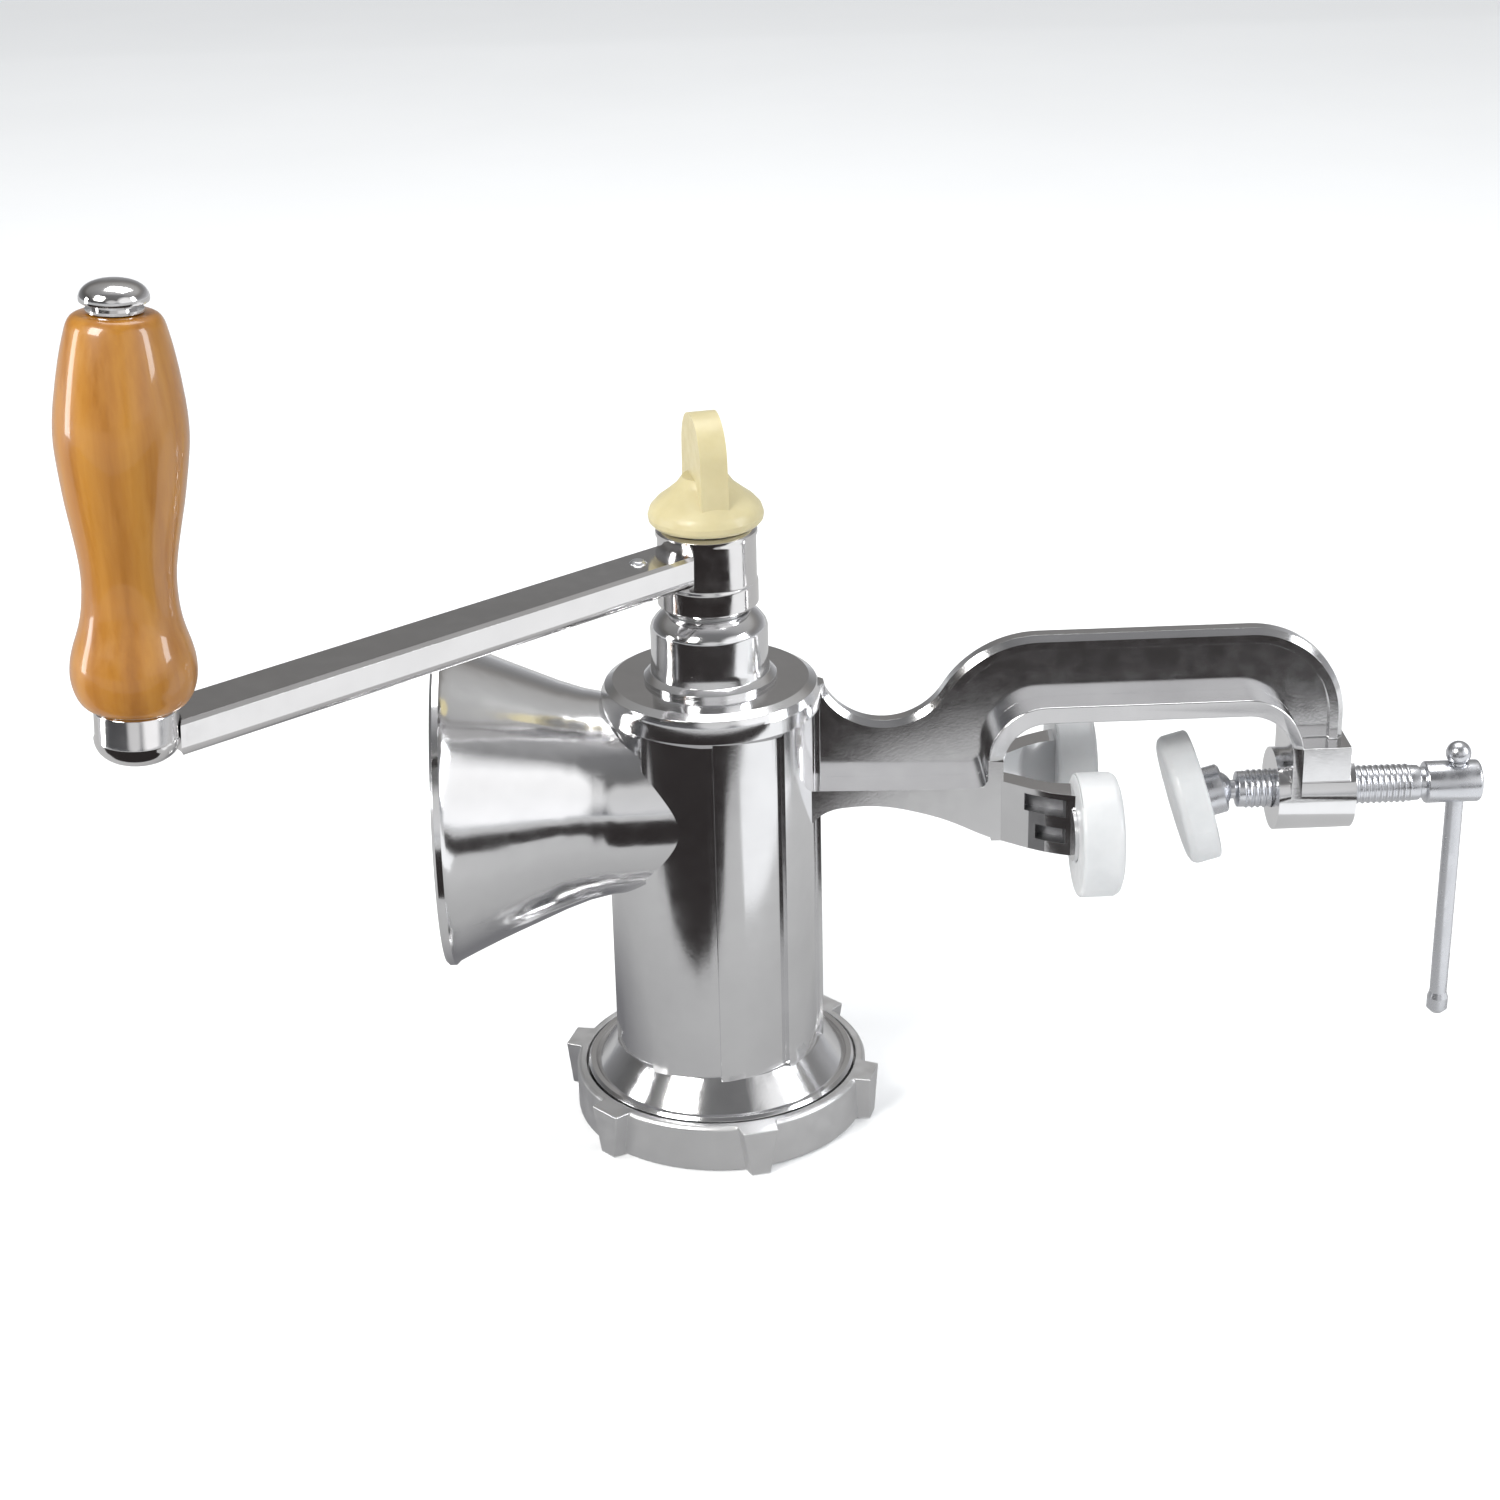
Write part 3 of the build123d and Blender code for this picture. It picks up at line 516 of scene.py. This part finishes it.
def rivet():
    n = GRIP_AXIS
    start = Vector((0, 0, 152.0))
    d = (GRIP_FOOT / MM - n * 5.6 - start).normalized()
    side = n.cross(d).normalized()
    upv = d.cross(side).normalized()
    if upv.z < 0:
        upv, side = -upv, -side
    fm = Matrix((d, side, upv)).transposed().to_4x4()
    fm.translation = (start + d * 23.0 + upv * 4.3) * MM
    link("crank_rivet", mesh_of("rivet_mesh", turned(rounded([(0, 0.75), (1.5, 0.7), (2.15, 0.1), (2.15, -8.0), (0, -8.0)], [0, 0.5, 0.3, 0.1, 0], 4), 48, fm), 50),
         "zinc", "feed_crank", "crank_pin")


rivet()


# ---- worm: a smooth helical flight on its core
def worm():
    turns, pitch, z0 = 3.15, 27.0, 20.5
    core = rounded([(0, 13.1), (11.5, 13.1), (12.0, 30.0), (9.6, 108.0), (14.0, 109.4), (14.0, 113.1), (0, 113.1)], [0, 0.8, 8, 2, 0.8, 0.5, 0], 5)
    bm = turned(core, 96)
    per = 72
    n = int(turns * per)
    rings = []
    for i in range(n + 1):
        a = 2 * math.pi * i / per
        z = z0 + pitch * i / per
        k = min(1.0, i / (per * 0.16), (n - i) / (per * 0.16))
        k = math.sin(k * math.pi / 2) if k < 1 else 1.0
        ro = 10.5 + (22.7 - 10.5) * k
        row = []
        for rr, dz in ((8.8, -2.6), (12.5, -2.15), (ro - 1.2, -1.35), (ro - 0.25, -1.1), (ro, -0.6), (ro, 0.6), (ro - 0.25, 1.1), (ro - 1.2, 1.35), (12.5, 2.15), (8.8, 2.6)):
            rr = min(rr, ro)
            row.append(bm.verts.new((rr * MM * math.cos(a), rr * MM * math.sin(a), (z + dz) * MM)))
        rings.append(row)
    m = len(rings[0])
    for a, b in zip(rings, rings[1:]):
        for k in range(m):
            bm.faces.new((a[k], a[(k + 1) % m], b[(k + 1) % m], b[k]))
    bm.faces.new(list(reversed(rings[0])))
    bm.faces.new(rings[-1])
    me = mesh_of("worm_mesh", bm, 50)
    return link("feed_worm", me, "tin", "feed_crank", "auger")


worm()

# ------------------------------------------------------------------ stage
def sheet_mesh(name, corners, material, glossy_only=False):
    me = bpy.data.meshes.new(name)
    me.from_pydata([Vector(c) for c in corners], [], [tuple(range(len(corners)))])
    o = bpy.data.objects.new(name, me)
    bpy.context.scene.collection.objects.link(o)
    me.materials.append(material)
    if glossy_only:
        o.visible_camera = False
        o.visible_shadow = False
        o.visible_diffuse = False
        o.visible_transmission = False
    return o


floor_m, floor_nt, floor_b = new_material("floor_paper", (0.90, 0.905, 0.91), 0.0, 0.9)
floor_b.inputs["Specular IOR Level"].default_value = 0.1
fv = coords(floor_nt)
floor_nt.links.new(ramp(floor_nt, noise(floor_nt, fv, 6, 3), [(0.3, (0.895, 0.90, 0.905)), (0.7, (0.91, 0.915, 0.92))]),
                   floor_b.inputs["Base Color"])
sheet_mesh("floor", [(-6, -6, 0), (6, -6, 0), (6, 6, 0), (-6, 6, 0)], floor_m)


def glow(name, color, strength):
    m = bpy.data.materials.new(name)
    m.use_nodes = True
    nt = m.node_tree
    nt.nodes.clear()
    e = nt.nodes.new("ShaderNodeEmission")
    e.inputs["Color"].default_value = (*color, 1)
    e.inputs["Strength"].default_value = strength
    o = nt.nodes.new("ShaderNodeOutputMaterial")
    nt.links.new(e.outputs[0], o.inputs[0])
    return m, nt, e


# painted reflection of the table, a glowing sheet seen only by the polished metal: grey, with a painted shadow darker
# under the mincer, dark in front
table_m, tnt, te = glow("table_reflection", (0.4, 0.41, 0.43), 1.0)
tv = coords(tnt)
grad = tnt.nodes.new("ShaderNodeTexGradient")
grad.gradient_type = "SPHERICAL"
gm = tnt.nodes.new("ShaderNodeMapping")
gm.inputs["Scale"].default_value = (4.2, 5.5, 1)
gm.inputs["Location"].default_value = (0.12, -0.2, 0)
tnt.links.new(tv, gm.inputs["Vector"])
tnt.links.new(gm.outputs["Vector"], grad.inputs["Vector"])
# painted shadow near the mincer's base, lighter outward, darker again far out
tnt.links.new(ramp(tnt, grad.outputs["Fac"], [(0.0, (0.60, 0.60, 0.60)), (0.35, (0.53, 0.53, 0.53)), (0.55, (0.48, 0.48, 0.48)), (0.85, (0.20, 0.20, 0.21))]),
              te.inputs["Color"])
sheet_mesh("card_table_painted_reflection", [(-1.6, -1.4, 0.0004), (1.6, -1.4, 0.0004), (1.6, 1.6, 0.0004), (-1.6, 1.6, 0.0004)], table_m, True)
# painted reflection: a dark sheet seen only in reflections, standing for the dark room in front of the table
dark = glow("painted_dark_reflection", (0.030, 0.026, 0.026), 1.0)[0]
sheet_mesh("card_front_painted_dark_reflection", [(-1.2, -0.115, 0.0010), (-0.03, -0.118, 0.0010), (0.01, -0.135, 0.0010), (0.045, -0.195, 0.0010), (0.062, -0.222, 0.0010), (0.095, -0.240, 0.0010),
                               (0.20, -0.232, 0.0010), (0.38, -0.275, 0.0010), (0.8, -0.5, 0.0010), (0.8, -0.58, 0.0010), (-1.2, -0.58, 0.0010)], dark, True)
# painted reflection: a glowing sheet seen only in reflections, a bright patch on the table to the right
bright = glow("painted_bright_reflection", (0.98, 0.99, 1.0), 1.1)[0]
sheet_mesh("card_right_painted_bright_reflection", [(0.085, -0.13, 0.0016), (0.13, -0.215, 0.0016), (0.42, -0.265, 0.0016), (0.9, -0.15, 0.0016), (0.9, 0.10, 0.0016), (0.30, 0.05, 0.0016), (0.17, -0.06, 0.0016)], bright, True)

world = bpy.data.worlds.new("studio")
bpy.context.scene.world = world
world.use_nodes = True
wnt = world.node_tree
bg = wnt.nodes["Background"]
bg.inputs["Color"].default_value = (0.97, 0.985, 1.0, 1)
bg.inputs["Strength"].default_value = 0.68
bg2 = wnt.nodes.new("ShaderNodeBackground")
bg2.inputs["Strength"].default_value = 1.0
wtc = wnt.nodes.new("ShaderNodeTexCoord")
sep = wnt.nodes.new("ShaderNodeSeparateXYZ")
wnt.links.new(wtc.outputs["Generated"], sep.inputs[0])
sky = ramp(wnt, sep.outputs["Z"], [(0.0, (0.55, 0.56, 0.58)), (0.10, (0.42, 0.42, 0.43)), (0.30, (0.25, 0.25, 0.25)), (0.43, (0.27, 0.26, 0.25)),
                                   (0.58, (0.47, 0.465, 0.455)), (0.75, (0.52, 0.52, 0.515)), (0.90, (0.58, 0.58, 0.58)), (1.0, (0.85, 0.85, 0.85))])
front = ramp(wnt, spread(wnt, sep.outputs["Y"], 0, 1, -1, 1), [(0.0, (0.40, 0.40, 0.41)), (0.30, (0.38, 0.38, 0.39)), (0.45, (0.75, 0.75, 0.76)), (0.7, (1, 1, 1))])
mx = wnt.nodes.new("ShaderNodeMix")
mx.data_type = "RGBA"
mx.blend_type = "MULTIPLY"
mx.inputs[0].default_value = 1.0
wnt.links.new(sky, mx.inputs[6])
wnt.links.new(front, mx.inputs[7])
# soft box in front on the right, seen only in reflections
dot = wnt.nodes.new("ShaderNodeVectorMath")
dot.operation = "DOT_PRODUCT"
dot.inputs[1].default_value = Vector((0.72, -0.64, 0.27)).normalized()
wnt.links.new(wtc.outputs["Generated"], dot.inputs[0])
box = ramp(wnt, dot.outputs["Value"], [(0.86, (0, 0, 0)), (0.945, (1.0, 1.0, 1.0))])
dot2 = wnt.nodes.new("ShaderNodeVectorMath")
dot2.operation = "DOT_PRODUCT"
dot2.inputs[1].default_value = Vector((0.03, -0.965, 0.26)).normalized()
wnt.links.new(wtc.outputs["Generated"], dot2.inputs[0])
box2 = ramp(wnt, dot2.outputs["Value"], [(0.93, (0, 0, 0)), (0.975, (0.62, 0.62, 0.62))])
mside = wnt.nodes.new("ShaderNodeMix")
mside.data_type = "RGBA"
mside.blend_type = "MULTIPLY"
mside.inputs[0].default_value = 1.0
side = ramp(wnt, spread(wnt, sep.outputs["X"], 0, 1, -1, 1), [(0.0, (0.45, 0.45, 0.45)), (0.5, (0.85, 0.85, 0.85)), (0.8, (1, 1, 1))])
wnt.links.new(mx.outputs[2], mside.inputs[6])
wnt.links.new(side, mside.inputs[7])
m2 = wnt.nodes.new("ShaderNodeMix")
m2.data_type = "RGBA"
m2.blend_type = "ADD"
m2.inputs[0].default_value = 1.0
wnt.links.new(mside.outputs[2], m2.inputs[6])
wnt.links.new(box2, m2.inputs[7])
mb = wnt.nodes.new("ShaderNodeMix")
mb.data_type = "RGBA"
mb.blend_type = "ADD"
mb.inputs[0].default_value = 1.0
wnt.links.new(m2.outputs[2], mb.inputs[6])
wnt.links.new(box, mb.inputs[7])
wnt.links.new(mb.outputs[2], bg2.inputs["Color"])
lp = wnt.nodes.new("ShaderNodeLightPath")
ms = wnt.nodes.new("ShaderNodeMixShader")
wnt.links.new(lp.outputs["Is Glossy Ray"], ms.inputs[0])
wnt.links.new(bg.outputs[0], ms.inputs[1])
wnt.links.new(bg2.outputs[0], ms.inputs[2])
wnt.links.new(ms.outputs[0], wnt.nodes["World Output"].inputs["Surface"])


def area(name, at, to, size, power, color=(1, 1, 1)):
    d = bpy.data.lights.new(name, "AREA")
    d.shape = "RECTANGLE"
    d.size, d.size_y = size
    d.energy = power
    d.color = color
    o = bpy.data.objects.new(name, d)
    bpy.context.scene.collection.objects.link(o)
    o.location = at
    o.rotation_euler = (Vector(to) - Vector(at)).to_track_quat("-Z", "Y").to_euler()
    return o


area("key", (-0.75, -0.75, 0.95), (0, 0, 0.1), (0.55, 0.55), 14, (1, 0.995, 0.97))
area("top", (0.1, 0.35, 1.5), (0, 0, 0.1), (1.0, 0.8), 10)
area("right", (1.15, -0.35, 0.6), (0, 0, 0.1), (0.3, 0.7), 6, (0.96, 0.98, 1))
area("left", (-1.2, -0.1, 0.35), (0, 0, 0.1), (0.25, 0.6), 4)

bpy.context.scene.view_settings.view_transform = "Standard"

# camera
cam_d = bpy.data.cameras.new("camera")
cam = bpy.data.objects.new("camera", cam_d)
bpy.context.scene.collection.objects.link(cam)
bpy.context.scene.camera = cam
cam_d.sensor_width = 36.0
cam_d.lens = 36.0 * 2854.125 / 1500.0
cam_d.clip_start, cam_d.clip_end = 0.02, 30
pitch, roll, yaw = (math.radians(a) for a in (23.832, -1.3, -2.0))
target = Vector((9.442, 0, 100.207)) * MM
back = Vector((math.sin(yaw) * math.cos(pitch), -math.cos(yaw) * math.cos(pitch), math.sin(pitch)))
right = (-back).cross(Vector((0, 0, 1))).normalized()
up = right.cross(-back)
R = right * math.cos(roll) + up * math.sin(roll)
U = -right * math.sin(roll) + up * math.cos(roll)
cm = Matrix((R, U, back)).transposed().to_4x4()
cm.translation = target + back * 0.720
cam.matrix_world = cm
